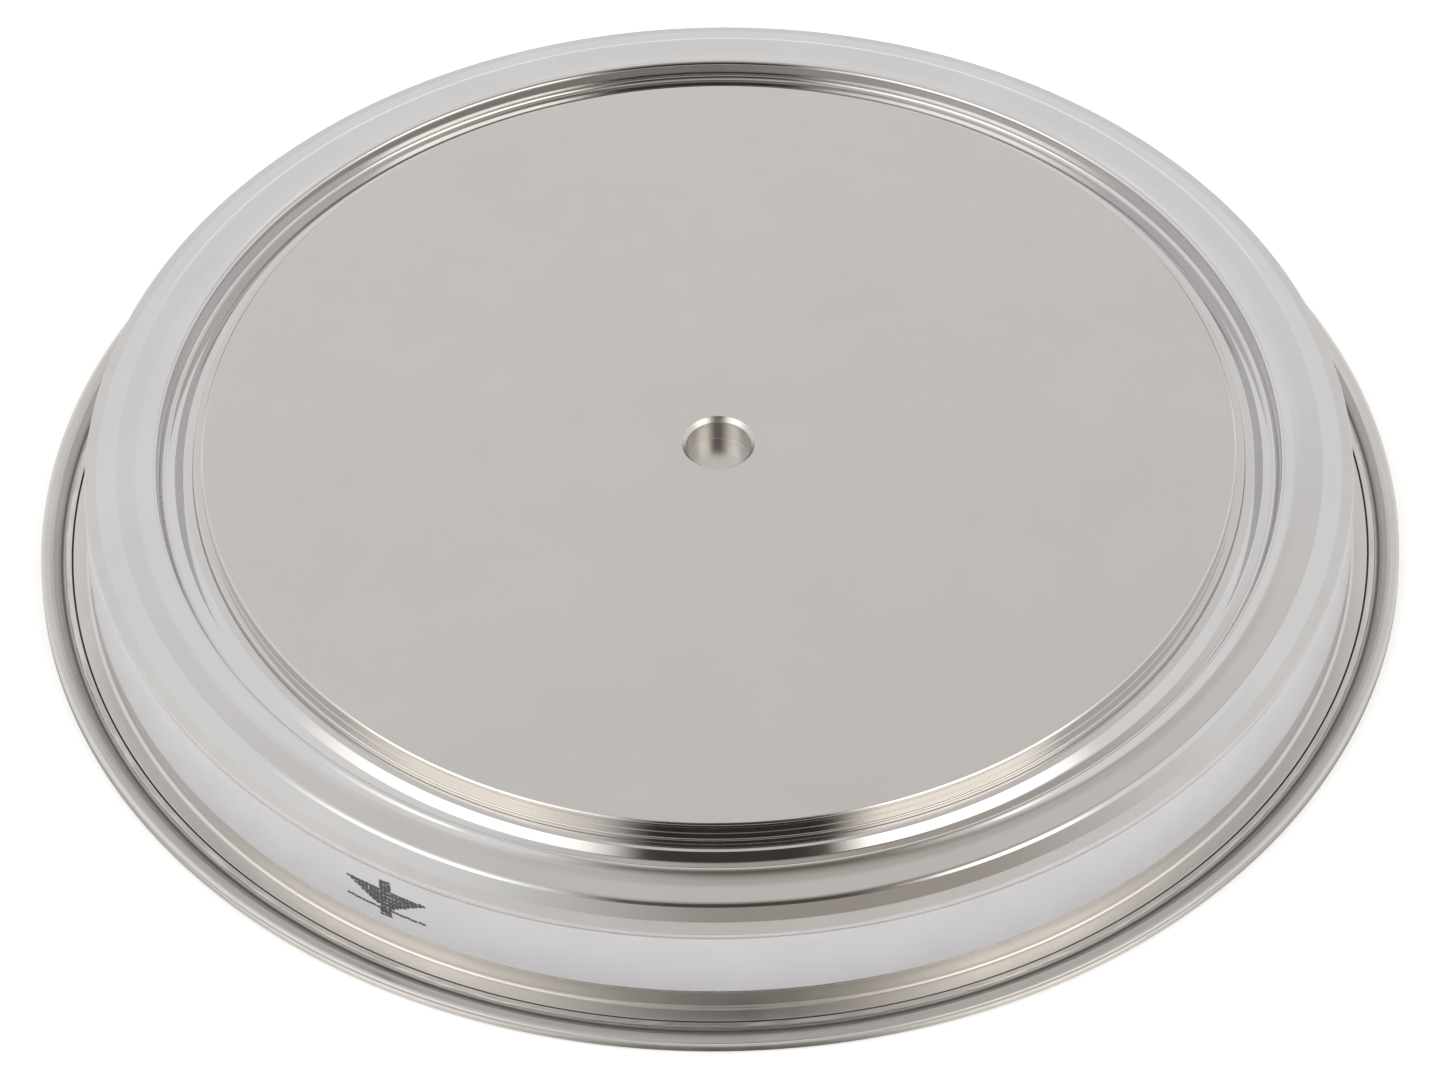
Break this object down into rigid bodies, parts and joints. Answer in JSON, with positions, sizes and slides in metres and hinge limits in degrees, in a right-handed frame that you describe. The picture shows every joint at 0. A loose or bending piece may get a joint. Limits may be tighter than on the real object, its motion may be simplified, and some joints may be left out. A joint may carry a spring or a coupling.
{
  "type": "press-pack rectifier diode",
  "caption": "Flat round capsule with a nickel-plated contact face and centring hole on each side, a white ceramic ring and a welded rim, clamped between two conductors.",
  "frame": {"origin": "centre of the lower (cathode) contact face, which is the bottom centre of the bounding box", "axes": "+Z along the capsule's axis, from the cathode face to the anode face; +X to the right and +Y away from the picture's camera"},
  "size_m": [0.0756, 0.0756, 0.008],
  "materials": {
    "nickel_plate": "satin nickel plate on copper, fine lapped face",
    "nickel_sheet": "bright nickel plate on formed sheet",
    "alumina": "white, semi-gloss",
    "silver_braze": "plated braze",
    "molybdenum": "ground",
    "silicon": "polished and metallised",
    "silicone_rubber": "moulded, matt",
    "fluoropolymer": "turned, waxy"
  },
  "bodies": {
    "root": {"cathode_pole": "nickel_plate", "anode_pole": "nickel_plate", "cathode_flange": "nickel_sheet", "anode_flange": "nickel_sheet", "seal_ring": "nickel_sheet", "ceramic_ring": "alumina", "cathode_flange_braze": "silver_braze", "anode_flange_braze": "silver_braze", "ceramic_base_braze": "silver_braze", "ceramic_top_braze": "silver_braze", "cathode_disc": "molybdenum", "anode_disc": "molybdenum", "silicon_wafer": "silicon", "edge_rubber": "silicone_rubber", "locating_ring": "fluoropolymer"}
  },
  "joints": []
}
